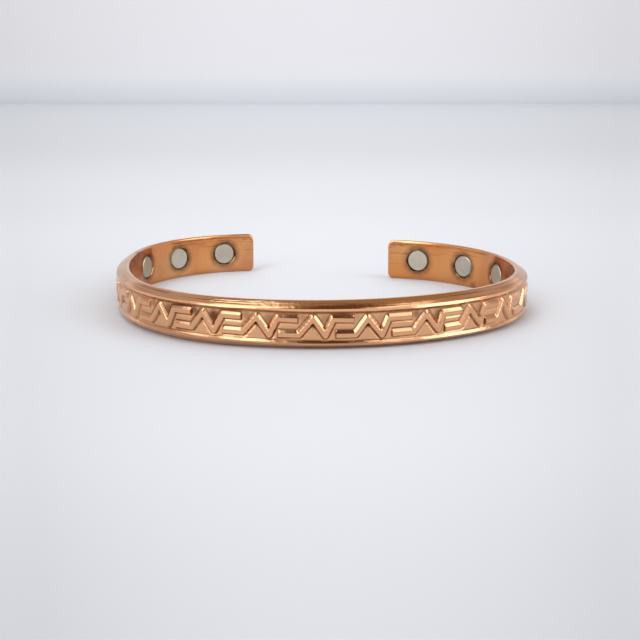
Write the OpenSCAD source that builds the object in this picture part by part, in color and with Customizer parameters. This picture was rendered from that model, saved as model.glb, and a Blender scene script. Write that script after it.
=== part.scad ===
// Magnetic bracelet: an open cuff of one bent copper strip that lies on its edge.
// The front faces -Y, the gap between the tips faces +Y, and six disc magnets sit in the inner face.

/* [Front] */
// Inner radius of the flat front stretch
front_r = 40; // [32:1:60]
// Turn of the front stretch from its middle to the left, degrees
front_left_turn = 18; // [12:1:22]
// Turn of the front stretch from its middle to the right, degrees
front_right_turn = 36; // [28:1:40]

/* [Left arm] */
// Inner radius of the bend beside the front
left_bend_r = 24; // [20:1:28]
// Turn of that bend, degrees
left_bend_turn = 53; // [46:1:56]
// Inner radius of the flatter side stretch
left_side_r = 46; // [40:1:54]
// Turn of the side stretch, degrees
left_side_turn = 27; // [22:1:30]
// Inner radius of the end stretch
left_end_r = 20; // [18:1:23]
// Turn of the end stretch, degrees
left_end_turn = 79; // [70:1:82]

/* [Right arm] */
// Inner radius of the bend beside the front
right_bend_r = 22; // [19:1:26]
// Turn of that bend, degrees
right_bend_turn = 50; // [44:1:54]
// Inner radius of the flatter side stretch
right_side_r = 27; // [23:1:34]
// Turn of the side stretch, degrees
right_side_turn = 23; // [18:1:28]
// Inner radius of the end stretch
right_end_r = 22; // [19:1:25]
// Turn of the end stretch, degrees
right_end_turn = 62; // [55:1:66]

/* [Strip] */
// Height of the strip, from its lower to its upper edge
strip_h = 7; // [6.6:0.1:9]
// Thickness of the strip at its border
strip_t = 2.2; // [2:0.1:3]
// Width of the flat land on each edge
land_w = 0.5; // [0.3:0.05:0.8]
// Chamfer of the inner edges
inner_chamfer = 0.15; // [0.05:0.05:0.3]
// Height of the bevel between a land and the border
bevel_h = 0.9; // [0.7:0.05:1]
// Height of the border beside the panel
border_h = 0.35; // [0.2:0.05:0.4]
// Height of the slope from the border into the panel
slope_h = 0.25; // [0.1:0.05:0.3]
// Depth of the sunk panel
panel_depth = 0.3; // [0.15:0.05:0.4]
// Radius of the corners of each tip
tip_r = 1.1; // [0.8:0.1:2.6]

/* [Ornament] */
// Width of a stroke at its foot
stroke_w = 1.1; // [0.8:0.05:1.15]
// Width of a stroke's flat crown
crown_w = 0.5; // [0.3:0.05:0.6]
// Height of a stroke above the panel
stroke_h = 0.3; // [0.15:0.05:0.4]
// Length of the straight bars
bar_l = 2.95; // [2.4:0.05:3.4]
// Run of each of the two long diagonals
diagonal_run = 1.9; // [1.7:0.05:2.2]
// Run of the short diagonal
short_run = 1.2; // [1.1:0.05:1.6]
// Space from a unit's last corner to the start of the next unit
unit_gap = 0.2; // [0.1:0.05:0.8]
// Space between the bars and the edge of the panel
bar_margin = 0.36; // [0.3:0.02:0.5]
// Plain stretch left before each tip
plain_end = 2; // [1:0.5:8]

/* [Magnets] */
// Number of magnets in each arm
magnets_per_arm = 3; // [1:1:4]
// Diameter of a magnet
magnet_d = 3.8; // [3:0.1:4.4]
// Thickness of a magnet
magnet_t = 1.1; // [0.8:0.1:1.3]
// Chamfer around a magnet's face
magnet_chamfer = 0.15; // [0.05:0.05:0.3]
// Distance from a tip to the middle of its first magnet, along the inner face
first_magnet = 5.5; // [4.5:0.1:7]
// Distance between magnets, along the inner face
magnet_spacing = 9.3; // [6:0.1:10]
// Clearance around a magnet in its pocket
pocket_gap = 0.1; // [0.05:0.05:0.2]
// Clearance under a magnet in its pocket
seat_gap = 0.05; // [0.05:0.05:0.15]

/* [Hidden] */
LEFT = -1;
RIGHT = 1;
$fn = 96;
copper = "#c98a63";
nickel = "#c4c5bd";
past = 1;
grid = 100;
tip_meet = 0.98;

// Each arm is a chain of tangent arcs from the middle of the front, as [inner radius, turn]
left_arm = [
    [front_r, front_left_turn],
    [left_bend_r, left_bend_turn],
    [left_side_r, left_side_turn],
    [left_end_r, left_end_turn]
];
right_arm = [
    [front_r, front_right_turn],
    [right_bend_r, right_bend_turn],
    [right_side_r, right_side_turn],
    [right_end_r, right_end_turn]
];
function arm(side) = side == LEFT ? left_arm : right_arm;

// A place on an arm is [x, y, heading]. off is the distance outwards from the inner face.
function after(p, r, turn) = [
    p.x + r*(sin(p.z + turn) - sin(p.z)),
    p.y + r*(cos(p.z) - cos(p.z + turn)),
    p.z + turn
];
function arc_start(arm, i, off) =
    i == 0 ? [0, -off, 0] : after(arc_start(arm, i - 1, off), arm[i - 1][0] + off, arm[i - 1][1]);
function arc_length(arm, i, off) = (arm[i][0] + off)*arm[i][1]*PI/180;
function arm_length(arm, off, i = 0) =
    i == len(arm) ? 0 : arc_length(arm, i, off) + arm_length(arm, off, i + 1);
function at_length(arm, off, s, i = 0) =
    s <= arc_length(arm, i, off) || i == len(arm) - 1
        ? after(arc_start(arm, i, off), arm[i][0] + off, s/(arm[i][0] + off)*180/PI)
        : at_length(arm, off, s - arc_length(arm, i, off), i + 1);
function at_heading(arm, off, heading, i = 0) =
    let (p = arc_start(arm, i, off))
    heading <= p.z + arm[i][1] || i == len(arm) - 1
        ? after(p, arm[i][0] + off, min(heading - p.z, arm[i][1]))
        : at_heading(arm, off, heading, i + 1);

// The origin is the middle of the strip's outline, on the plane that it lies on
right_x = at_heading(right_arm, strip_t, 90).x;
left_x = -at_heading(left_arm, strip_t, 90).x;
back_y = max(at_heading(right_arm, strip_t, 180).y, at_heading(left_arm, strip_t, 180).y);
middle = [(left_x + right_x)/2, (back_y - strip_t)/2];

// Section of the strip as [distance outwards, height]: its lower half, then the upper one
lower_half = [
    [0, inner_chamfer],
    [inner_chamfer, 0],
    [inner_chamfer + land_w, 0],
    [strip_t, bevel_h],
    [strip_t, bevel_h + border_h],
    [strip_t - panel_depth, bevel_h + border_h + slope_h]
];
section = concat(
    lower_half,
    [for (i = [len(lower_half) - 1:-1:0]) [lower_half[i].x, strip_h - lower_half[i].y]]
);

// Middle line of one ornament unit as [distance along, height above the middle of the panel]
panel_h = strip_h - 2*(bevel_h + border_h + slope_h);
bar_v = panel_h/2 - bar_margin - stroke_w/2;
peak_u = bar_l + diagonal_run;
trough_u = peak_u + diagonal_run;
corner_u = trough_u + short_run;
unit_l = corner_u + bar_l;
pitch = corner_u + unit_gap;
unit_path = [
    [0, -bar_v],
    [bar_l/2, -bar_v],
    [bar_l, -bar_v],
    [peak_u, bar_v],
    [trough_u, -bar_v],
    [corner_u, bar_v],
    [corner_u + bar_l/2, bar_v],
    [unit_l, bar_v]
];
// Section of a stroke as [distance aside, height above the panel], with its foot sunk in the strip
sunk = 0.1;
flank = (stroke_w - crown_w)/2;
sunk_w = stroke_w + 2*sunk*flank/stroke_h;
stroke_section = [
    [sunk_w/2, -sunk],
    [crown_w/2, stroke_h],
    [-crown_w/2, stroke_h],
    [-sunk_w/2, -sunk]
];
// One unit has its peak at the middle of the front, and whole units follow to both sides
first_unit = ceil((peak_u + plain_end - arm_length(left_arm, strip_t))/pitch);
last_unit = floor((arm_length(right_arm, strip_t) - plain_end + peak_u - unit_l)/pitch);

last_point = len(unit_path) - 1;
function unit_vector(v) = v/norm(v);
function course(i) = unit_vector(unit_path[i + 1] - unit_path[i]);
function aside(v) = [-v.y, v.x];
function mitre(i) =
    let (m = aside(course(max(i - 1, 0))) + aside(course(min(i, last_point - 1))))
    2*m/(m*m);
function end_course(i) = i == 0 ? course(0) : i == last_point ? -course(last_point - 1) : [0, 0];
function stroke_point(i, s) =
    unit_path[i] + s[0]*mitre(i) + (stroke_w/2 - abs(s[0]))*end_course(i);
// Bends a point of the flat ornament round the strip
function bent(u, v, above) =
    let (
        side = u < 0 ? LEFT : RIGHT,
        p = at_length(arm(side), strip_t, abs(u)),
        deep = panel_depth - above
    )
    [side*(p.x - deep*sin(p.z)), p.y + deep*cos(p.z), strip_h/2 + v];

// Moves its children in a coarse and a fine step, so that arcs which meet there also meet in an
// export that keeps six digits of each number
module placed(p) {
    coarse = [for (x = p) round(x*grid)/grid];
    translate(coarse)
    translate(p - coarse)
    children();
}

// One stretch of the strip, on the right-hand side
module stretch(arm, i) {
    start = arc_start(arm, i, 0);
    placed([start.x - arm[i][0]*sin(start.z), start.y + arm[i][0]*cos(start.z)])
    rotate_extrude(angle = arm[i][1], start = start.z - 90)
    translate([arm[i][0], 0])
    polygon(section);
}

module front() {
    translate([0, front_r])
    rotate_extrude(angle = front_left_turn + front_right_turn, start = -front_left_turn - 90)
    translate([front_r, 0])
    polygon(section);
}

// Puts its children on the right-hand side or, mirrored, on the left-hand one
module on_side(side) {
    mirror([side == LEFT ? 1 : 0, 0, 0])
    children();
}

// Puts its children on the inner face at length s, with +X along the arm and -Y outwards
module at_place(side, s) {
    p = at_length(arm(side), 0, s);
    on_side(side)
    translate([p.x, p.y])
    rotate(p.z)
    children();
}

// The two corners that are rounded off one tip. The round meets the edge and the end of the strip
// at a slight angle, as a filed corner does.
module tip_corners() {
    inset = tip_r*tip_meet;
    for (up = [0, 1])
        translate([0, past, up*strip_h])
        mirror([0, 0, up])
        rotate([90, 0, 0])
        linear_extrude(strip_t + 2*past)
        difference() {
            translate([-inset, -past])
            square([inset + past, inset + past]);
            translate([-inset, inset])
            circle(tip_r);
        }
}

module ornament_unit(start) {
    ring = len(stroke_section);
    polyhedron(
        points = [
            for (i = [0:last_point])
                for (s = stroke_section)
                    let (p = stroke_point(i, s))
                    bent(start + p.x, p.y, s[1])
        ],
        faces = concat(
            [[for (k = [0:ring - 1]) k]],
            [
                for (i = [0:last_point - 1])
                    for (k = [0:ring - 1])
                        let (next = (k + 1)%ring)
                        [i*ring + next, i*ring + k, (i + 1)*ring + k, (i + 1)*ring + next]
            ],
            [[for (k = [ring - 1:-1:0]) last_point*ring + k]]
        )
    );
}

// Distance from the middle of the front to a magnet, counted from the tip
function magnet_place(side, i) =
    arm_length(arm(side), 0) - first_magnet - (i - 1)*magnet_spacing;

module pocket() {
    rotate([90, 0, 0])
    translate([0, strip_h/2, -past])
    cylinder(d = magnet_d + 2*pocket_gap, h = magnet_t + seat_gap + past);
}

module band() {
    color(copper)
    translate(-middle)
    difference() {
        union() {
            front();
            for (side = [LEFT, RIGHT])
                on_side(side)
                for (i = [1:len(arm(side)) - 1])
                    stretch(arm(side), i);
            for (k = [first_unit:last_unit])
                ornament_unit(k*pitch - peak_u);
        }
        for (side = [LEFT, RIGHT]) {
            at_place(side, arm_length(arm(side), 0))
            tip_corners();
            for (i = [1:magnets_per_arm])
                at_place(side, magnet_place(side, i))
                pocket();
        }
    }
}

module magnet(side, i) {
    color(nickel)
    translate(-middle)
    at_place(side, magnet_place(side, i))
    translate([0, 0, strip_h/2])
    rotate([90, 0, 0])
    rotate_extrude()
    polygon([
        [0, 0],
        [magnet_d/2 - magnet_chamfer, 0],
        [magnet_d/2, magnet_chamfer],
        [magnet_d/2, magnet_t],
        [0, magnet_t]
    ]);
}

band();
for (i = [1:magnets_per_arm]) {
    magnet(LEFT, i);
    magnet(RIGHT, i);
}
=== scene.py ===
import math
import random

import bmesh
import bpy
from mathutils import Matrix, Vector, noise


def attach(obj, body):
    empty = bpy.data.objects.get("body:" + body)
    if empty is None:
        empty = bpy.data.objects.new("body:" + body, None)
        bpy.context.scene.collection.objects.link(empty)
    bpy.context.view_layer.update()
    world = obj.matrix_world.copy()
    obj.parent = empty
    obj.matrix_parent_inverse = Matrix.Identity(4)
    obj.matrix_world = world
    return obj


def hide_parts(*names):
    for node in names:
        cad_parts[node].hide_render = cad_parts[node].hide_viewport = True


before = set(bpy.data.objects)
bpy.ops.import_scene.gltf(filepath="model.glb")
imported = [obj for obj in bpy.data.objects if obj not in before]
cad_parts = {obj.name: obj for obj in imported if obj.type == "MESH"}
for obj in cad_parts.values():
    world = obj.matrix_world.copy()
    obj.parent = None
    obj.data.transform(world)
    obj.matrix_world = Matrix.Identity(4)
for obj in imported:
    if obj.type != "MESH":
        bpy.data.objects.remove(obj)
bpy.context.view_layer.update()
scene = bpy.context.scene
mm = 0.001
tiny = 0.0001  # mm, within which two places of the mesh count as one
print("frame loaded:", len(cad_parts), "nodes")

# Camera, at the photograph's angle
view = {
    "target": (-1.2247, -2.697, 0),  # mm, on the floor halfway between the front and the tips
    "distance": 203.8,
    "down": 13,  # degrees below the horizontal
    "lens": 70.1,
    "sensor": 36,
    "shift": (0.0123, -0.0191),
    "nearest": 0.01,  # m, from where the camera sees
}


def placeCamera():
    cameraData = bpy.data.cameras.new("camera")
    cameraData.lens = view["lens"]
    cameraData.sensor_width = view["sensor"]
    cameraData.shift_x, cameraData.shift_y = view["shift"]
    cameraData.clip_start = view["nearest"]
    camera = bpy.data.objects.new("camera", cameraData)
    scene.collection.objects.link(camera)
    down = math.radians(view["down"])
    back = Vector((0, -math.cos(down), math.sin(down)))
    camera.location = (Vector(view["target"]) + view["distance"] * back) * mm
    camera.rotation_euler = back.to_track_quat("Z", "Y").to_euler()
    scene.camera = camera


placeCamera()
scene.view_settings.view_transform = "Standard"
print("camera set")


def vertsIn(geom):
    return [g for g in geom if isinstance(g, bmesh.types.BMVert)]


# Turns a bmesh into an object of the scene
def newPiece(name, bm):
    mesh = bpy.data.meshes.new(name)
    bm.to_mesh(mesh)
    bm.free()
    piece = bpy.data.objects.new(name, mesh)
    scene.collection.objects.link(piece)
    return piece


def smoothFaces(piece):
    for polygon in piece.data.polygons:
        polygon.use_smooth = True


# The line that the strip is bent to, in mm: tangent arcs from the middle of the front, as
# (inner radius, degrees of turn)
plan = {
    "left": [(40, 18), (24, 53), (46, 27), (20, 79)],
    "right": [(40, 36), (22, 50), (27, 23), (22, 62)],
    "middle": (1.22473, 27.7668),  # taken off at the end, so that the cuff's box is centred
    "thickness": 2.2,
    "height": 7,
}
sides = {"left": -1, "right": 1}


def armLength(arm, off):
    return sum((r + off) * math.radians(turn) for r, turn in plan[arm])


outerLength = {arm: armLength(arm, plan["thickness"]) for arm in sides}


# Point of the arm's line at a distance off outwards from the inner face, and its heading
def atLength(arm, off, length):
    x, y, heading = 0.0, -off, 0.0
    for i, (r, turn) in enumerate(plan[arm]):
        r += off
        step = math.radians(turn)
        last = i == len(plan[arm]) - 1
        if length <= r * step or last:
            step = length / r
        x += r * (math.sin(heading + step) - math.sin(heading))
        y += r * (math.cos(heading) - math.cos(heading + step))
        heading += step
        length -= r * step
        if length <= 1e-9:
            break
    return x, y, heading


# Length along the outer face that lies outside a length along the inner face
def alongOuter(arm, inner):
    outer = 0.0
    for r, turn in plan[arm]:
        step = min(inner / r, math.radians(turn))
        outer += (r + plan["thickness"]) * step
        inner -= r * step
    return outer


# Bends a point of the straight strip: u along the outer face, off outwards, z up
def bent(u, off, z):
    arm = "left" if u < 0 else "right"
    x, y, heading = atLength(arm, plan["thickness"], abs(u))
    deep = plan["thickness"] - off
    x -= deep * math.sin(heading)
    y += deep * math.cos(heading)
    return Vector((sides[arm] * x - plan["middle"][0], y - plan["middle"][1], z)) * mm


# The raised ornament, in mm. A unit is a bar, a zigzag and a second bar.
ornament = {
    "strokeWidth": 1.24,
    "flank": (0.33, 0.09),  # width of the strokes' sloping sides, and how much wider the upper ones are
    "barLength": 2.95,
    "diagonalRun": 1.9,
    "shortRun": 1.2,
    "unitGap": 0.2,
    "barLevel": 1.12,
    "peakRise": 0.14,  # how far peaks and troughs reach past the bars
    "plainEnd": 2,  # least length without a stroke before each tip
    "moat": (0.06, 0.3),  # extra depth of the ground along a stroke, and how wide that is
    "pit": (0.1, 0.3),  # depth of the nick in each inner corner, and its size
    "innerCorner": 1.06,  # from a peak or trough to the corner inside it
    "uneven": 0.05,  # how far the strokes' corners stray
    "seed": 4,
    # how far the visible units' corners lie off the even pitch: start, bend, peak, trough, corner, end
    "chart": {
        -4: (0.0, 0.0, -0.3, -0.4, -0.5, -0.45),
        -3: (0.0, 0.0, 0.05, -0.05, -0.15, 0.1),
        -2: (0.0, 0.0, 0.0, -0.1, 0.0, 0.0),
        -1: (0.0, 0.0, 0.15, 0.1, 0.05, 0.0),
        0: (-0.05, 0.0, 0.1, -0.03, -0.1, -0.05),
        1: (0.1, 0.0, -0.15, 0.05, -0.1, 0.55),
        2: (0.25, 0.6, 0.7, 0.9, 0.45, 0.75),
        3: (0.6, 0.5, 0.15, 0.45, 0.15, 0.2),
        4: (0.15, 0.0, -0.5, -0.6, -0.9, -0.6),
    },
}
strokeHalf = ornament["strokeWidth"] / 2
pitch = ornament["barLength"] + 2 * ornament["diagonalRun"] + ornament["shortRun"] + ornament["unitGap"]
peakAt = ornament["barLength"] + ornament["diagonalRun"]


# The corners of one unit's stroke, with its first peak at k times the pitch
def unitPath(k):
    bar, run, level = ornament["barLength"], ornament["diagonalRun"], ornament["barLevel"]
    tall = level + ornament["peakRise"]
    corner = bar + 2 * run + ornament["shortRun"]
    places = [0.0, bar, bar + run, bar + 2 * run, corner, corner + bar]
    heights = [-level, -level, tall, -tall, level, level]
    shifts = ornament["chart"].get(k, (0, 0, 0, 0, 0, 0))
    places = [place + shift for place, shift in zip(places, shifts)]
    chance = random.Random(ornament["seed"] * 100 + k)
    stray = [chance.uniform(-1, 1) * ornament["uneven"] for _ in range(2 * len(places))]
    start = k * pitch - peakAt
    return [
        Vector((start + place + stray[2 * i], height + stray[2 * i + 1]))
        for i, (place, height) in enumerate(zip(places, heights))
    ]


# Every unit that leaves a plain end on both arms
unitLength = pitch - ornament["unitGap"] + ornament["barLength"]
firstUnit = math.ceil((peakAt + ornament["plainEnd"] - outerLength["left"]) / pitch)
lastUnit = math.floor((outerLength["right"] - ornament["plainEnd"] - unitLength + peakAt) / pitch)
units = {k: unitPath(k) for k in range(firstUnit, lastUnit + 1)}


# The unit that lies at u, if there is one there, and its neighbours
def unitsNear(u):
    k = math.floor((u + peakAt) / pitch)
    return [n for n in (k - 1, k, k + 1) if n in units]


# Distance from (u, v) to the nearest stroke's middle line, and the direction away from it.
# The bars end square and the strokes' corners are round outside.
def strokeAt(u, v):
    nearest, away = 9.0, Vector((0, 0))  # further off than any stroke counts
    beside = 1  # mm past a leg's ends, where the leg no longer counts
    point = Vector((u, v))
    for unit in unitsNear(u):
        path = units[unit]
        last = len(path) - 2
        for i, (start, end) in enumerate(zip(path, path[1:])):
            if u < min(start.x, end.x) - beside or u > max(start.x, end.x) + beside:
                continue
            span = end - start
            along = (point - start).dot(span) / span.length_squared
            off = point - start - span * min(max(along, 0), 1)
            d = off.length
            if (i == 0 and along < 0) or (i == last and along > 1):
                course = span.normalized() * (-1 if along < 0 else 1)
                past = off.dot(course) + strokeHalf
                side = off - course * off.dot(course)
                d, off = (past, course) if past > side.length else (side.length, side)
            if d < nearest:
                nearest, away = d, off
    return nearest, away.normalized()


# The strip: how it is cut up, and its section for the lower edge as points (outwards, height)
strip = {
    "edge": [
        (0.0, 0.8), (0.0, 0.35), (0.02, 0.19), (0.075, 0.08), (0.17, 0.02), (0.28, 0.0),
        (0.56, 0.0), (0.64, 0.005), (0.73, 0.028), (0.83, 0.072), (1.04, 0.185), (1.40, 0.392),
        (1.76, 0.612), (1.94, 0.73), (2.03, 0.795), (2.09, 0.86), (2.12, 0.93), (2.15, 1.01),
    ],
    "panelFoot": 1.1,  # height where the outer face starts
    "outerRows": 12,
    "innerRows": 5,
    "cut": 0.43,  # length of each row of faces
    "finer": 4,  # how much finer the outer face is cut again
    "panelDepth": 0.3,
    "slope": (2.0, 2.36),  # distance from the middle line where the panel ends and the border starts
    "wave": (0.05, 0.35),  # how far those lines stray, and how quickly
    "border": (-0.1, 1.35),  # how far outwards the border leans a mm, and up to what height
    "tipRadius": 1.1,
    "tipEdge": 0.22,
    "tipSteps": [(0.5, 0.15), (0.3, 0.3), (0.2, 0.5)],  # shares of that edge, onwards and inwards
    "tipRoom": 6.0,  # length over which the rows close up towards a round corner
    "innerFace": 0.02,  # how far outwards the inner face's colour reaches
    "sharp": 33,  # degrees between two faces, from where an edge is sharp
    # how far the panel lies above the strip's middle line, by place along the front
    "lean": [
        (-60, 0), (-45, 0), (-24, 0.18), (-12, 0.14), (0, -0.08), (10, -0.2), (20, -0.23), (30, -0.18),
        (50, 0), (60, 0),
    ],
    "leanFade": 0.95,  # height over which that comes in, from the upper and the lower edge
}
panelLow = strip["panelFoot"]
panelHigh = plan["height"] - panelLow
snapReach = strip["cut"] / strip["finer"] / 2

# Tarnish and painted shade of the outer face, and painted dark reflections on its upper bevel. Places are
# in mm, and a strength of 1 hides the copper.
tarnishAndShade = {
    "corner": (0.42, 0.95),  # how far the dark reaches out of an inner corner, and its strength
    # the openings above a trough and beside a peak: place, height, half sizes, share of the unit's strength
    "aboveTrough": ((0.05, 0.9), (0.85, 0.95), 1.0),
    "besidePeak": ((-1.5, 1.4), (0.6, 0.6), 0.8),
    "openings": {-4: 0.3, -3: 0.7, -2: 0.95, -1: 0.5, 0: 0.4, 1: 0.2, 2: 0.75, 3: 0.55, 4: 0.2},
    "otherOpenings": 0.4,
    "footLine": (0.01, 0.17, 1.5),  # line round a stroke: distance off it, half width, strength
    "footAbove": (0.07, 0.3),  # how much further off and stronger that line is above a stroke, where it is painted shade
    "panelLine": (0.03, 0.13, 1.3),  # line along the panel's edge: distance inside it, half width, strength
    "slope": 0.9,  # painted shade on the slope above the panel, which faces down
    "fainterSides": (24, 6, 0.5),  # the tarnish and painted shade are painted paler towards the sides, where light washes them out: from where, over what length, and by what share
    "rim": (0.5, 2.0, 0.4, 0.55),  # painted shade along the lower rim, which stands for the shadow that the rim mirrors: outwards from and to, up to what height, strength
    "rimShadeFade": (25, 0.8),  # along what length of the front that painted shade fades, and by what share
    "bevel": (0.6, 2.15),  # the upper bevel that the painted dark reflections lie on, outwards from and to
    # how strongly that is streaked with painted dark reflections, by place along the front
    "streakedReflection": [
        (-90, 0.2), (-34, 0.3), (-28, 0.6), (-18, 1.0), (-12, 0.5), (-5, 0.1), (12, 0.0), (19, 0.1),
        (25, 0.7), (30, 0.3), (90, 0.2),
    ],
}


# Value at a place along the front, from a list of (place, value)
def valueAt(values, u):
    for (a, low), (b, high) in zip(values, values[1:]):
        if a <= u < b:
            t = (u - a) / (b - a)
            return low + (high - low) * t * t * (3 - 2 * t)
    return 0.0


# Moves a point of the fine grid onto a stroke's crown line or foot line if it lies close by. Gives the
# point, how high it stands as 0 to 1, how far it is off the stroke, and 1 above the stroke, 0 beside it
# and -1 below it.
def snapped(u, v):
    d, away = strokeAt(u, v)
    flank = ornament["flank"][0] + ornament["flank"][1] * away.y
    for line in (strokeHalf - flank, strokeHalf):
        if abs(d - line) < snapReach:
            u, v, d = u + away.x * (line - d), v + away.y * (line - d), line
    return u, v, min(1.0, max(0.0, (strokeHalf - d) / flank)), d - strokeHalf, away.y


# Moves a height onto the line where the panel ends or the border starts if it lies close by. Gives the
# height, and how far up the slope between the two it is.
def onLines(u, v):
    far, quick = strip["wave"]
    noiseRow = 7.0 if v > 0 else 3.0  # another one for each edge of the panel
    wave = far * noise.noise((u * quick, noiseRow, 0.0))
    inner, outer = (line + wave for line in strip["slope"])
    for line in (inner, outer):
        if abs(abs(v) - line) < snapReach:
            v = math.copysign(line, v)
    return v, min(1.0, max(0.0, (abs(v) - inner) / (outer - inner)))


# How deep the nick in an inner corner is at (u, v), and how dark the ground lies there
def wearAt(u, v):
    pit = dark = 0.0
    size = ornament["pit"][1]
    reach, strength = tarnishAndShade["corner"]
    for unit in unitsNear(u):
        peak, trough = units[unit][2:4]
        for corner, side in ((peak, -1.0), (trough, 1.0)):
            far = math.hypot(u - corner.x, v - corner.y - ornament["innerCorner"] * side)
            pit = max(pit, math.exp(-2 * (far / size) ** 2))
            dark = max(dark, strength * math.exp(-(far / reach) ** 2))
        unitDark = tarnishAndShade["openings"].get(unit, tarnishAndShade["otherOpenings"])
        for corner, name in ((trough, "aboveTrough"), (peak, "besidePeak")):
            (x, y), (wide, tall), share = tarnishAndShade[name]
            far = ((u - corner.x - x) / wide) ** 2 + ((v - y) / tall) ** 2
            dark = max(dark, share * unitDark * math.exp(-far ** 2))
    return pit, dark


# How dark the lines round the strokes and along the panel's edges are: tarnish, and painted shade
def lineAt(v, gap, upwards):
    off, width, strength = tarnishAndShade["footLine"]
    further, stronger = tarnishAndShade["footAbove"]
    # painted shade: the line is stronger above a stroke, where the stroke's upper flank mirrors the dark
    # part of the room overhead
    foot = max(0.0, 1 - abs(gap - off - further * upwards) / width) * (strength + stronger * upwards)
    off, width, strength = tarnishAndShade["panelLine"]
    edge = max(0.0, 1 - abs(strip["slope"][0] - abs(v) - off) / width) * strength
    return min(1.0, max(foot, edge))


def onOuterFace(vert):
    outermost = abs(vert.co.y - plan["thickness"]) < tiny
    return outermost and panelLow - tiny < vert.co.z < panelHigh + tiny


# Sinks the panel round the strokes and notes its tarnish and painted shade. Gives the vertex's place and
# how high it stands.
def carve(vert, foot, shade):
    height = plan["height"]
    u, z = vert.co.x, vert.co.z
    further, top = strip["border"]
    vert.co.y += further * max(0.0, top - min(z, height - z))
    v, rise = onLines(u, z - height / 2)
    moat = pit = 0.0
    if rise == 0:
        u, v, rise, gap, upwards = snapped(u, v)
        pit, dark = wearAt(u, v)
        deep, width = ornament["moat"]
        moat = max(0.0, 1 - max(0.0, gap) / width) * deep
        # painted light: the lines and dark ground grow paler towards the sides, where light washes them out
        start, length, share = tarnishAndShade["fainterSides"]
        held = 1 - share * min(1.0, max(0.0, (abs(u) - start) / length))
        vert[foot] = held * (lineAt(v, gap, upwards) + pit)
        vert[shade] = held * dark * (1 - rise)
    elif v > 0:
        # painted shade on the slope above the panel
        vert[foot] = tarnishAndShade["slope"] * (1 - rise)
    vert.co.y -= (strip["panelDepth"] + moat + ornament["pit"][0] * pit) * (1 - rise)
    z = v + height / 2
    vert.co.x, vert.co.z = u, z
    return u, z, rise


# Notes the painted shade along the lower rim and the painted dark reflections streaked along the upper
# bevel
def paintEdgeShade(vert, z, shade, reflectionStreak):
    u, off = vert.co.x, vert.co.y
    start, end, top, strength = tarnishAndShade["rim"]
    length, share = tarnishAndShade["rimShadeFade"]
    # painted shade: the lower rim darkens towards the floor, standing for the shadow under the cuff that it
    # mirrors
    if start < off < end and z < top:
        vert[shade] = strength * (1 - z / top) * (1 - share * min(1.0, abs(u) / length))
    # painted dark reflections streaked along the upper bevel
    start, end = tarnishAndShade["bevel"]
    if start < off < end and z > panelHigh + tiny:
        vert[reflectionStreak] = valueAt(tarnishAndShade["streakedReflection"], u)


# How far the strip reaches at this height, with its corners rounded
def tipEnd(length, z):
    r, middle = strip["tipRadius"], plan["height"] / 2
    beyond = abs(z - middle) - (middle - r)
    return length if beyond <= 0 else length - r + math.sqrt(max(0.0, r * r - beyond * beyond))


# Where a vertex of the straight strip goes: leaned, closed up to the round corners, and bent
def settled(u, off, z):
    middle = plan["height"] / 2
    share = min(1.0, (middle - abs(z - middle)) / strip["leanFade"])
    z += valueAt(strip["lean"], u) * share * (off / plan["thickness"])
    length, room = outerLength["left" if u < 0 else "right"], strip["tipRoom"]
    if abs(u) > length - room:
        share = (abs(u) - length + room) / room
        u = math.copysign(length - room + share * (tipEnd(length, z) - length + room), u)
    return bent(u, off, z)


# The section as a ring: lower edge, outer face, upper edge, inner face
def sectionRing():
    thickness, height, rows = plan["thickness"], plan["height"], strip["outerRows"]
    lower = strip["edge"] + [(thickness, panelLow)]
    outer = [(thickness, panelLow + (panelHigh - panelLow) * i / rows) for i in range(1, rows)]
    upper = [(off, height - z) for off, z in reversed(lower)]
    foot, rows = lower[0][1], strip["innerRows"]
    inner = [(0.0, height - foot - (height - 2 * foot) * i / rows) for i in range(1, rows)]
    return lower + outer + upper + inner


# The straight strip from x = start to x = end, cut into short lengths and open at both ends
def sweepStrip(bm, start, end):
    ring = sectionRing()
    loop = bmesh.ops.create_circle(bm, cap_ends=False, segments=len(ring), radius=1)["verts"]
    for vert, (off, z) in zip(loop, ring):
        vert.co = (start, off, z)
    swept = bmesh.ops.extrude_edge_only(bm, edges=bm.edges[:])["geom"]
    for vert in vertsIn(swept):
        vert.co.x = end
    long = [e for e in bm.edges if abs(e.verts[0].co.x - e.verts[1].co.x) > 1]
    cuts = round(sum(outerLength.values()) / strip["cut"]) - 1
    bmesh.ops.subdivide_edges(bm, edges=long, cuts=cuts)


# Closes a tip with a slightly rounded rim
def closeTip(bm, x, side):
    rim = [e for e in bm.edges if e.is_boundary and abs(e.verts[0].co.x - x) < tiny]
    cap = bmesh.ops.edgeloop_fill(bm, edges=rim)["faces"]
    for onwards, inwards in strip["tipSteps"]:
        bmesh.ops.inset_region(bm, faces=cap, thickness=strip["tipEdge"] * inwards)
        for vert in cap[0].verts:
            vert.co.x += side * strip["tipEdge"] * onwards
    bmesh.ops.triangulate(bm, faces=cap, ngon_method="BEAUTY")


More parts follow.
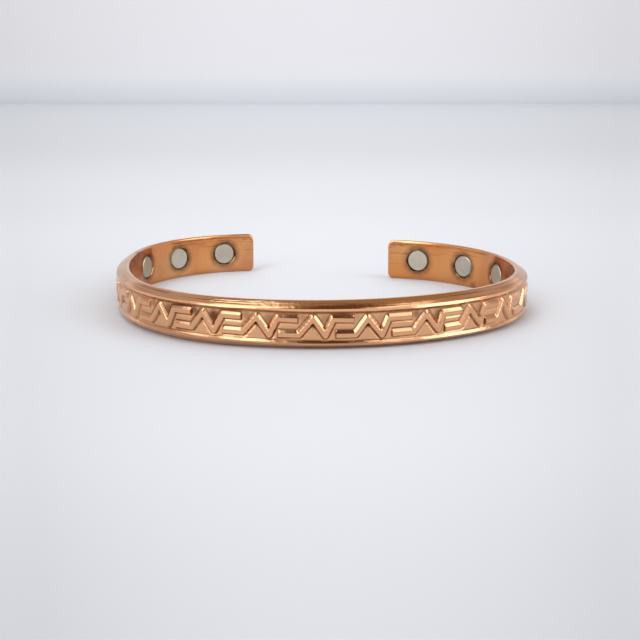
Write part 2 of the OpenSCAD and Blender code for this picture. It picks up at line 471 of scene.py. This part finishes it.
def buildCuff():
    bm = bmesh.new()
    ends = [(sides[arm] * (outerLength[arm] - strip["tipEdge"]), sides[arm]) for arm in sides]
    sweepStrip(bm, ends[0][0], ends[1][0])
    for x, side in ends:
        closeTip(bm, x, side)
    panel = [f for f in bm.faces if all(onOuterFace(vert) for vert in f.verts)]
    edges = list(dict.fromkeys(e for f in panel for e in f.edges))
    bmesh.ops.subdivide_edges(bm, edges=edges, cuts=strip["finer"] - 1, use_grid_fill=True)

    # The copper reads these: height in the relief, tarnish and painted shade, the inner face, painted dark
    # reflections streaked along the upper bevel, and the place on the straight strip
    relief, foot, shade, inside, reflectionStreak = (
        bm.verts.layers.float.new(name) for name in ("relief", "foot", "shade", "inside", "reflectionStreak")
    )
    straight = bm.verts.layers.float_vector.new("straight")
    for vert in bm.verts:
        u, z, rise = vert.co.x, vert.co.z, 1.0
        if onOuterFace(vert):
            u, z, rise = carve(vert, foot, shade)
        vert[relief] = rise
        vert[inside] = 1.0 if vert.co.y < strip["innerFace"] else 0.0
        paintEdgeShade(vert, z, shade, reflectionStreak)
        vert[straight] = vert.co
        vert.co = settled(u, vert.co.y, z)
    bmesh.ops.recalc_face_normals(bm, faces=bm.faces[:])
    if bm.calc_volume(signed=True) < 0:
        bmesh.ops.reverse_faces(bm, faces=bm.faces[:])
    return newPiece("cuff", bm)


# The magnets are the frame's own nodes. Their pockets are cut out of the cuff.
magnets = {
    "perArm": 3,
    "diameter": 3.8,
    "depth": 1.1,
    "first": 5.5,  # from a tip to the middle of its first magnet, along the inner face
    "spacing": 9.3,
    "gap": 0.1,  # between a magnet and its pocket's wall
    "under": 0.05,  # between a magnet and its pocket's floor
    "rim": 0.06,  # chamfer round each pocket
    "mouth": 0.4,  # length of the cutter's cone that makes the chamfer
    "facets": 72,
    "mended": (0.35, 0.2),  # how far beside and beneath a pocket the cut's vertices are mended
    "crisp": 20,  # degrees between two faces, from where an edge of the cut shows
}


# Where each magnet lies, and the direction from it into the strip
def magnetPlaces():
    places = []
    for arm, side in sides.items():
        for i in range(magnets["perArm"]):
            length = armLength(arm, 0) - magnets["first"] - i * magnets["spacing"]
            x, y, heading = atLength(arm, 0, length)
            middle = Vector((side * x - plan["middle"][0], y - plan["middle"][1], plan["height"] / 2))
            outwards = Vector((side * math.sin(heading), -math.cos(heading), 0))
            places.append({"arm": arm, "length": length, "middle": middle * mm, "outwards": outwards})
    return places


# One mesh that fills all six pockets
def buildCutter():
    bm = bmesh.new()
    r = magnets["diameter"] / 2 + magnets["gap"]
    deep = magnets["depth"] + magnets["under"]
    mouth, rim = magnets["mouth"], magnets["rim"]
    for place in magnetPlaces():
        outwards = place["outwards"]
        turn = outwards.to_track_quat("Z", "Y").to_matrix().to_4x4()
        upright = Matrix.Translation(place["middle"]) @ turn @ Matrix.Scale(mm, 4)
        made = bmesh.ops.create_cone(
            bm, cap_ends=True, segments=magnets["facets"], radius1=r + mouth, radius2=r, depth=mouth,
            matrix=upright @ Matrix.Translation((0, 0, rim - mouth / 2)),
        )["verts"]
        caps = [f for vert in made for f in vert.link_faces if len(f.verts) > 4]
        top = max(caps, key=lambda f: (f.calc_center_median() - place["middle"]).dot(outwards))
        pushed = bmesh.ops.extrude_face_region(bm, geom=[top])["geom"]
        bmesh.ops.delete(bm, geom=[top], context="FACES_ONLY")
        bmesh.ops.translate(bm, verts=vertsIn(pushed), vec=outwards * (deep - rim) * mm)
    bmesh.ops.recalc_face_normals(bm, faces=bm.faces[:])
    return newPiece("pockets", bm)


def cutPockets(cuff):
    cutter = buildCutter()
    change = cuff.modifiers.new("pockets", "BOOLEAN")
    change.operation = "DIFFERENCE"
    change.solver = "MANIFOLD"
    change.object = cutter
    bpy.context.view_layer.update()
    done = bpy.data.meshes.new_from_object(cuff.evaluated_get(bpy.context.evaluated_depsgraph_get()))
    spent = [cuff.data, cutter.data]
    cuff.modifiers.clear()
    cuff.data = done
    bpy.data.objects.remove(cutter)
    for mesh in spent:
        bpy.data.meshes.remove(mesh)
    done.name = "cuff"


# The pockets' rims stay crisp, so that the flat face around them shades flat. The cut leaves
# its new vertices without the values that the copper reads, so they are given here.
def mendRims(cuff):
    bm = bmesh.new()
    bm.from_mesh(cuff.data)
    relief, foot, shade, inside = (
        bm.verts.layers.float[name] for name in ("relief", "foot", "shade", "inside")
    )
    straight = bm.verts.layers.float_vector["straight"]
    beside, beneath = magnets["mended"]
    reach = (magnets["diameter"] / 2 + magnets["gap"] + beside) * mm
    deepest = (magnets["depth"] + beneath) * mm
    places = magnetPlaces()
    for vert in bm.verts:
        nearest = min(places, key=lambda place: (place["middle"] - vert.co).length)
        off = vert.co - nearest["middle"]
        outwards = nearest["outwards"]
        behind = off.dot(outwards)
        if off.length > reach or behind > deepest:
            continue
        side = sides[nearest["arm"]]
        along = off.dot(Vector((-outwards.y, outwards.x, 0))) / mm
        u = side * alongOuter(nearest["arm"], nearest["length"] + side * along)
        vert[straight] = (u, behind / mm, vert.co.z / mm)
        vert[relief] = vert[inside] = 1.0
        vert[foot] = vert[shade] = 0.0
        for edge in vert.link_edges:
            if edge.calc_face_angle(0) > math.radians(magnets["crisp"]):
                edge.smooth = False
    bm.to_mesh(cuff.data)
    bm.free()


cuff = buildCuff()
print("cuff modelled:", len(cuff.data.polygons), "faces")
cutPockets(cuff)
smoothFaces(cuff)
cuff.data.set_sharp_from_angle(angle=math.radians(strip["sharp"]))
mendRims(cuff)
even = cuff.modifiers.new("even shading", "WEIGHTED_NORMAL")
even.keep_sharp = True
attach(cuff, "root")
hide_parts("band")
print("pockets cut:", len(cuff.data.polygons), "faces")


def newMaterial(name):
    material = bpy.data.materials.new(name)
    material.use_nodes = True
    tree = material.node_tree
    return material, tree, tree.nodes["Principled BSDF"]


# A node group, with its inputs as (name, kind). Its outputs are all plain values.
def newGroup(name, inputs, outputs):
    group = bpy.data.node_groups.new(name, "ShaderNodeTree")
    for socket, kind in inputs:
        group.interface.new_socket(socket, in_out="INPUT", socket_type="NodeSocket" + kind)
    for socket in outputs:
        group.interface.new_socket(socket, in_out="OUTPUT", socket_type="NodeSocketFloat")
    return group, group.nodes.new("NodeGroupInput").outputs, group.nodes.new("NodeGroupOutput").inputs


# Adds a node, with a number, a colour or another node's output for each socket that is named
def addNode(tree, kind, values=None, **settings):
    node = tree.nodes.new("ShaderNode" + kind)
    for name, value in settings.items():
        setattr(node, name, value)
    for key, value in (values or {}).items():
        if isinstance(value, bpy.types.NodeSocket):
            tree.links.new(value, node.inputs[key])
        else:
            node.inputs[key].default_value = value
    return node


def addMath(tree, operation, *values, clamp=False):
    return addNode(tree, "Math", dict(enumerate(values)), operation=operation, use_clamp=clamp).outputs[0]


def addNoise(tree, place, scale, detail, roughness=0.5):
    values = {"Vector": place, "Scale": scale, "Detail": detail, "Roughness": roughness}
    return addNode(tree, "TexNoise", values).outputs["Fac"]


# Draws the values between start and end out to low and high
def addRange(tree, value, start, end, low=0.0, high=1.0, smooth=False):
    values = {"Value": value, "From Min": start, "From Max": end, "To Min": low, "To Max": high}
    kind = "SMOOTHSTEP" if smooth else "LINEAR"
    return addNode(tree, "MapRange", values, interpolation_type=kind).outputs[0]


# A cloudy mask: a noise, drawn out between two of its values
def addClouds(tree, place, scale, detail, roughness, start, end, low=0.0):
    return addRange(tree, addNoise(tree, place, scale, detail, roughness), start, end, low)


# Lines along the strip: a noise that is stretched by its scale in each direction
def addMarks(tree, place, scale, detail, roughness):
    stretched = addNode(tree, "Mapping", {"Vector": place, "Scale": scale})
    return addNoise(tree, stretched.outputs[0], 1, detail, roughness)


def addMix(tree, share, first, second, blend="MIX"):
    values = {0: share, 6: first, 7: second}
    return addNode(tree, "Mix", values, data_type="RGBA", blend_type=blend).outputs[2]


copper = {
    "bright": (0.735, 0.388, 0.207, 1),
    "yellowed": (0.70, 0.375, 0.198, 1),  # blotches of the sunk ground
    # partly painted reflection: the inner face's redder copper is partly its own colour and partly stands
    # for the copper's light mirrored back into it
    "inner": (0.675, 0.275, 0.09, 1),
    "innerPale": (0.78, 0.42, 0.19, 1),
    "reddened": (0.57, 0.225, 0.105, 1),  # patches of the inner face
    # painted dark reflection: the brown streaked along the upper bevel, where its polish lines mirror the
    # dark part of the room overhead
    "darkReflection": (0.30, 0.13, 0.055, 1),
    # tarnish and painted shade: the dark of the lines round the strokes, the openings, the slope above the
    # panel and the lower rim
    "tarnishAndShade": (0.13, 0.045, 0.018, 1),
    "soot": (0.10, 0.055, 0.03, 1),
    # cloudy masks: scale per metre, detail, roughness, the noise's values where the mask starts and is
    # full, and its least
    "clouds": {
        "held": (170, 3, 0.5, 0.35, 0.65, 0.5),  # where the lines of tarnish and painted shade hold
        "specks": (2600, 2, 0.5, 0.7, 0.78),
        "pale": (75, 1, 0.5, 0.42, 0.7),
        "blotches": (1100, 3, 0.6, 0.4, 0.65),
        "red": (120, 2, 0.5, 0.5, 0.66),
    },
    "ground": 0.4,  # height in the relief up to which it counts as sunk ground
    "pitted": (1.0, 1.7),  # values of the foot mask where a pit starts to take the soot colour, and has it fully
    "smooth": 0.11,
    "worn": 0.22,
    "wornUpTo": 0.12,  # height in the relief
    "scuffed": 0.06,  # how much rougher the polishing marks are
    "marks": 0.0000035,  # height of the polishing marks in m
    "waves": 0.000022,
    "grain": (5000, 3, 0.65),
    "grainHeight": (0.000009, 0.0000008),  # m, in the sunk ground and on the strokes
    # marks on the strip: scale a mm along it, outwards and up it, detail, roughness
    "fineMarks": ((0.12, 7, 7), 3, 0.6),
    "broadMarks": ((0.07, 2.6, 2.6), 2, 0.5),
    "broadShare": 8.0,  # how much higher the broad ones are
    "darkReflectionMarks": (0.5, 0.6),  # the broad marks' values where the painted dark reflection starts and is full
    "slowWaves": (0.9, 1),
    "ring": (1.9, 3.3),  # mm from a magnet's middle: where its dark ring is strongest, and where it ends
    "ringClouds": (900, 2, 0.5, 0.3, 0.7, 0.45),
    # place in mm, reach in mm, strength
    "stains": [
        ((-31.05, 9.5, 7.0), 1.6, 1.0), ((-31.3, 2.0, 6.2), 1.8, 0.8), ((-25.6, 21.6, 1.1), 1.4, 0.5),
        ((27.0, 12.4, 0.4), 1.3, 0.6), ((-23.5, 23.5, 6.4), 2.0, 0.3), ((31.2, 1.5, 5.0), 2.2, 0.5),
        ((-28.8, 18.6, 3.0), 3.4, 0.35),
    ],
}


# Fine marks along the strip and slow waves of the surface as a height, a mask of the marks for the
# roughness, and broader streaks for painted dark reflections in the colour
def streakGroup():
    inputs = [("Place", "Vector"), ("Marks", "Float"), ("Waves", "Float")]
    group, given, wanted = newGroup("polishing marks", inputs, ("Height", "Mask", "Streaks"))
    fine = addMarks(group, given["Place"], *copper["fineMarks"])
    broad = addMarks(group, given["Place"], *copper["broadMarks"])
    waves = addNoise(group, given["Place"], *copper["slowWaves"])
    both = addMath(group, "MULTIPLY_ADD", broad, copper["broadShare"], fine)
    lines = addMath(group, "MULTIPLY", both, given["Marks"])
    group.links.new(addMath(group, "MULTIPLY_ADD", waves, given["Waves"], lines), wanted["Height"])
    group.links.new(fine, wanted["Mask"])
    group.links.new(addRange(group, broad, *copper["darkReflectionMarks"]), wanted["Streaks"])
    return group


# Dark rings that polish left round the magnets, and single stains, as masks over the cuff
def stainGroup():
    group, given, wanted = newGroup("stains", [("Place", "Vector")], ("Rings", "Stains"))
    start, end = copper["ring"]
    rings = [(place["middle"], start * mm, end * mm, 1.0) for place in magnetPlaces()]
    stains = [(Vector(place) * mm, 0, reach * mm, strength) for place, reach, strength in copper["stains"]]
    patchy = addClouds(group, given["Place"], *copper["ringClouds"])
    for name, spots in (("Rings", rings), ("Stains", stains)):
        total = None
        for place, inner, outer, strength in spots:
            far = addNode(group, "VectorMath", {0: given["Place"], 1: place}, operation="DISTANCE")
            near = addRange(group, far.outputs["Value"], inner, outer, strength, 0.0, smooth=True)
            total = near if total is None else addMath(group, "MAXIMUM", total, near)
        group.links.new(addMath(group, "MULTIPLY", total, patchy), wanted[name])
    return group


def copperMaterial(streaks, stains):
    material, tree, shader = newMaterial("copper")
    shader.inputs["Metallic"].default_value = 1
    straight = addNode(tree, "Attribute", attribute_name="straight").outputs["Vector"]
    relief, foot, shade, inside, reflectionStreak = (
        addNode(tree, "Attribute", attribute_name=name).outputs["Fac"]
        for name in ("relief", "foot", "shade", "inside", "reflectionStreak")
    )
    place = addNode(tree, "TexCoord").outputs["Object"]
    heights = {"Place": straight, "Marks": copper["marks"], "Waves": copper["waves"]}
    polish = addNode(tree, "Group", heights, node_tree=streaks).outputs
    stained = addNode(tree, "Group", {"Place": place}, node_tree=stains).outputs
    clouds = {name: addClouds(tree, place, *values) for name, values in copper["clouds"].items()}
    low = addRange(tree, relief, 0.0, copper["ground"], 1.0, 0.0)

    # outer face, inner face, and the painted dark reflections streaked along the bevel
    blotches = addMath(tree, "MULTIPLY", clouds["blotches"], low)
    outer = addMix(tree, blotches, copper["bright"], copper["yellowed"])
    # the inner face: its redder copper is partly painted reflection of the copper mirrored into it
    wall = addMix(tree, clouds["pale"], copper["inner"], copper["innerPale"])
    wall = addMix(tree, clouds["red"], wall, copper["reddened"])
    colour = addMix(tree, inside, outer, wall)
    # painted dark reflections along the upper bevel
    darkReflection = addMath(tree, "MULTIPLY", reflectionStreak, polish["Streaks"])
    colour = addMix(tree, darkReflection, colour, copper["darkReflection"])

    # the ground darkens in the openings and by the inner corners, and the lower rim with painted shade; in
    # patches, tarnish and painted shade lie along the feet of the strokes and the panel's edges, and
    # painted shade on the slope above the panel
    colour = addMix(tree, shade, colour, copper["tarnishAndShade"])
    held = addMath(tree, "MULTIPLY", foot, clouds["held"], clamp=True)
    colour = addMix(tree, held, colour, copper["tarnishAndShade"])

    # the soot colour darkens the pits, and soot lies in specks on the ground, round the magnets and in the
    # stains
    specks = addMath(tree, "MULTIPLY", clouds["specks"], low)
    pits = addRange(tree, foot, *copper["pitted"])
    colour = addMix(tree, addMath(tree, "MAXIMUM", specks, pits), colour, copper["soot"])
    rings = addMath(tree, "MULTIPLY", stained["Rings"], inside)
    colour = addMix(tree, addMath(tree, "MAXIMUM", rings, stained["Stains"]), colour, copper["soot"])
    tree.links.new(colour, shader.inputs["Base Color"])

    dull = addRange(tree, relief, 0.0, copper["wornUpTo"], copper["worn"], copper["smooth"])
    rough = addMath(tree, "MULTIPLY_ADD", polish["Mask"], copper["scuffed"], dull)
    tree.links.new(rough, shader.inputs["Roughness"])
    grain = addNoise(tree, place, *copper["grain"])
    grainHeight = addRange(tree, relief, 0.0, 1.0, *copper["grainHeight"])
    height = addMath(tree, "MULTIPLY_ADD", grain, grainHeight, polish["Height"])
    bump = addNode(tree, "Bump", {"Height": height, "Strength": 1, "Distance": 1})
    tree.links.new(bump.outputs[0], shader.inputs["Normal"])
    return material


nickel = {
    "colour": (0.61, 0.56, 0.475, 1),
    "dull": (0.41, 0.385, 0.30, 1),
    "roughness": (0.26, 0.44),
    "clouds": (500, 4),
}


def nickelMaterial():
    material, tree, shader = newMaterial("nickel")
    shader.inputs["Metallic"].default_value = 1
    place = addNode(tree, "TexCoord").outputs["Object"]
    clouds = addNoise(tree, place, *nickel["clouds"])
    tree.links.new(addMix(tree, clouds, nickel["colour"], nickel["dull"]), shader.inputs["Base Color"])
    tree.links.new(addRange(tree, clouds, 0.0, 1.0, *nickel["roughness"]), shader.inputs["Roughness"])
    return material


cuff.data.materials.clear()
cuff.data.materials.append(copperMaterial(streakGroup(), stainGroup()))
nickelFinish = nickelMaterial()
for name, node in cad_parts.items():
    if name != "band":
        node.data.materials.clear()
        node.data.materials.append(nickelFinish)
print("materials made")

# Floor and backdrop: one pale sheet that turns up behind the cuff
stage = {
    "colour": (0.643, 0.649, 0.685, 1),
    "roughness": 0.7,
    "specular": 0.1,
    # painted light: the wall is painted brighter than the floor, standing for the light that falls on it
    "wallLight": (1.36, 1.315, 1.265, 1),
    "wallLitFrom": (0.002, 0.022),  # heights in m where the painted light on the wall starts and is full
    "sides": (0.12, 0.24),  # share of the brightness lost at the picture's sides, and their spread a metre
    "evenBefore": (-0.17, -0.12),  # distances in m nearer than which the sides aren't darkened
    "join": 510,  # mm behind the cuff
    "bend": 20,
    "bendSteps": 16,
    "width": 3000,
    "front": -1500,
    "wall": 200,
    # brightness at distances behind the cuff, in m
    "pool": [
        (-0.13, 0.83), (-0.06, 0.96), (0.02, 1.0), (0.06, 1.0), (0.12, 0.96), (0.27, 0.86),
        (0.497, 0.87), (0.508, 0.795),
    ],
}


# Brightness of the paper in front of the cuff and behind it
def poolOfLight(tree, distance):
    first, last = stage["pool"][0][0], stage["pool"][-1][0]
    ramp = addNode(tree, "ValToRGB", {"Fac": addRange(tree, distance, first, last)})
    ramp.color_ramp.interpolation = "EASE"
    stops = ramp.color_ramp.elements
    for i, (y, value) in enumerate(stage["pool"]):
        spot = stops[i] if i < 2 else stops.new(1)
        spot.position = (y - first) / (last - first)
        spot.color = (value, value, value, 1)
    return ramp.outputs[0]


def paperMaterial():
    material, tree, shader = newMaterial("paper")
    place = addNode(tree, "TexCoord").outputs["Object"]
    parts = addNode(tree, "SeparateXYZ", {"Vector": place}).outputs
    # painted shade: it darkens to both sides, along lines that spread from the viewer
    ahead = addMath(tree, "ADD", parts["Y"], view["distance"] * mm)
    spread = addMath(tree, "DIVIDE", parts["X"], ahead)
    squared = addMath(tree, "MULTIPLY", spread, spread)
    behind = addRange(tree, parts["Y"], *stage["evenBefore"], smooth=True)
    sideways = addMath(tree, "MULTIPLY", squared, behind)
    lost, edge = stage["sides"]
    fall = addRange(tree, sideways, 0.0, edge ** 2, 1.0, 1 - lost)
    whole = addMath(tree, "MULTIPLY", poolOfLight(tree, parts["Y"]), fall)
    # painted light on the wall
    raised = addRange(tree, parts["Z"], *stage["wallLitFrom"], smooth=True)
    litWall = addMix(tree, raised, (1, 1, 1, 1), stage["wallLight"])
    paper = addMix(tree, 1.0, stage["colour"], litWall, "MULTIPLY")
    tree.links.new(addMix(tree, 1.0, paper, whole, "MULTIPLY"), shader.inputs["Base Color"])
    shader.inputs["Roughness"].default_value = stage["roughness"]
    shader.inputs["Specular IOR Level"].default_value = stage["specular"]
    return material


def buildStage():
    bm = bmesh.new()
    bmesh.ops.create_grid(bm, x_segments=1, y_segments=1, size=0.5)
    for vert in bm.verts:
        y = stage["join"] if vert.co.y > 0 else stage["front"]
        vert.co = (vert.co.x * stage["width"], y, 0)
    edge = [e for e in bm.edges if all(vert.co.y == stage["join"] for vert in e.verts)]
    bmesh.ops.spin(
        bm, geom=edge, cent=(0, stage["join"], stage["bend"]), axis=(1, 0, 0),
        angle=math.pi / 2, steps=stage["bendSteps"], use_merge=False,
    )
    ends = [e for e in bm.edges if all(vert.co.z > stage["bend"] - tiny for vert in e.verts)]
    for vert in vertsIn(bmesh.ops.extrude_edge_only(bm, edges=ends)["geom"]):
        vert.co.z = stage["wall"]
    bmesh.ops.recalc_face_normals(bm, faces=bm.faces[:])
    bmesh.ops.scale(bm, verts=bm.verts[:], vec=(mm, mm, mm))
    floor = newPiece("floor", bm)
    smoothFaces(floor)
    floor.data.materials.append(paperMaterial())


buildStage()

# Soft light: a pale room, brighter behind the viewer, with a dark part overhead between two bright ones
light = {
    "room": (0.57, 0.53, 0.51, 1),
    "low": (1.0, 1.0, 1.03, 1),  # near the horizon
    "lowFrom": (0.5, 0.3),  # heights on the dome where that starts and is full
    "front": (1.05, 1.07, 1.12, 1),
    "frontFrom": (-0.4, -0.65),
    # middle and half sizes on the dome seen from above, softness of the edge, colour
    "patches": {
        "dark": ((0.10, 0.02), (0.46, 0.76), 0.2, (0.42, 0.31, 0.185, 1)),
        "deep": ((0.08, -0.28), (0.28, 0.46), 0.2, (0.11, 0.07, 0.04, 1)),
        "leftLow": ((-0.34, -0.36), (0.17, 0.32), 0.12, (2.6, 2.85, 2.95, 1)),
        "left": ((-0.235, 0.03), (0.155, 0.38), 0.1, (2.6, 2.85, 2.95, 1)),
        "leftFar": ((-0.64, -0.10), (0.08, 0.16), 0.2, (2.2, 2.4, 2.5, 1)),
        "right": ((0.44, -0.20), (0.14, 0.34), 0.12, (1.7, 1.85, 1.9, 1)),
        "windowLeft": ((-0.56, -0.65), (0.27, 0.24), 0.15, (3.3, 3.4, 3.5, 1)),
        "windowRight": ((0.80, -0.31), (0.16, 0.40), 0.15, (3.3, 3.4, 3.5, 1)),
    },
    "lamp": 0.92,
    "lampSize": 60,  # degrees across
    "lampTilt": -36,  # degrees from straight above towards the back
}


def lightRoom():
    world = bpy.data.worlds.new("room")
    scene.world = world
    world.use_nodes = True
    tree = world.node_tree
    direction = addNode(tree, "TexCoord").outputs["Generated"]
    parts = addNode(tree, "SeparateXYZ", {"Vector": direction}).outputs
    towards = addRange(tree, parts["Y"], *light["frontFrom"], smooth=True)
    seen = addMix(tree, towards, light["room"], light["front"])
    downwards = addRange(tree, parts["Z"], *light["lowFrom"], smooth=True)
    seen = addMix(tree, downwards, seen, light["low"])
    for (x, y), (wide, deep), soft, colour in light["patches"].values():
        placed = addNode(tree, "Mapping", {
            "Vector": direction, "Location": (-x / wide, -y / deep, 0), "Scale": (1 / wide, 1 / deep, 0),
        })
        far = addNode(tree, "VectorMath", {0: placed.outputs[0]}, operation="LENGTH")
        within = addRange(tree, far.outputs["Value"], 1 + soft, 1 - soft, smooth=True)
        seen = addMix(tree, within, seen, colour)
    tree.links.new(seen, tree.nodes["Background"].inputs["Color"])


# A broad soft light from above and a little behind, which the polished metal doesn't mirror
def hangLamp():
    lampData = bpy.data.lights.new("above", "SUN")
    lampData.energy = light["lamp"]
    lampData.angle = math.radians(light["lampSize"])
    lamp = bpy.data.objects.new("above", lampData)
    lamp.rotation_euler = (math.radians(light["lampTilt"]), 0, 0)
    lamp.visible_glossy = False
    scene.collection.objects.link(lamp)


lightRoom()
hangLamp()
print("stage and light set")
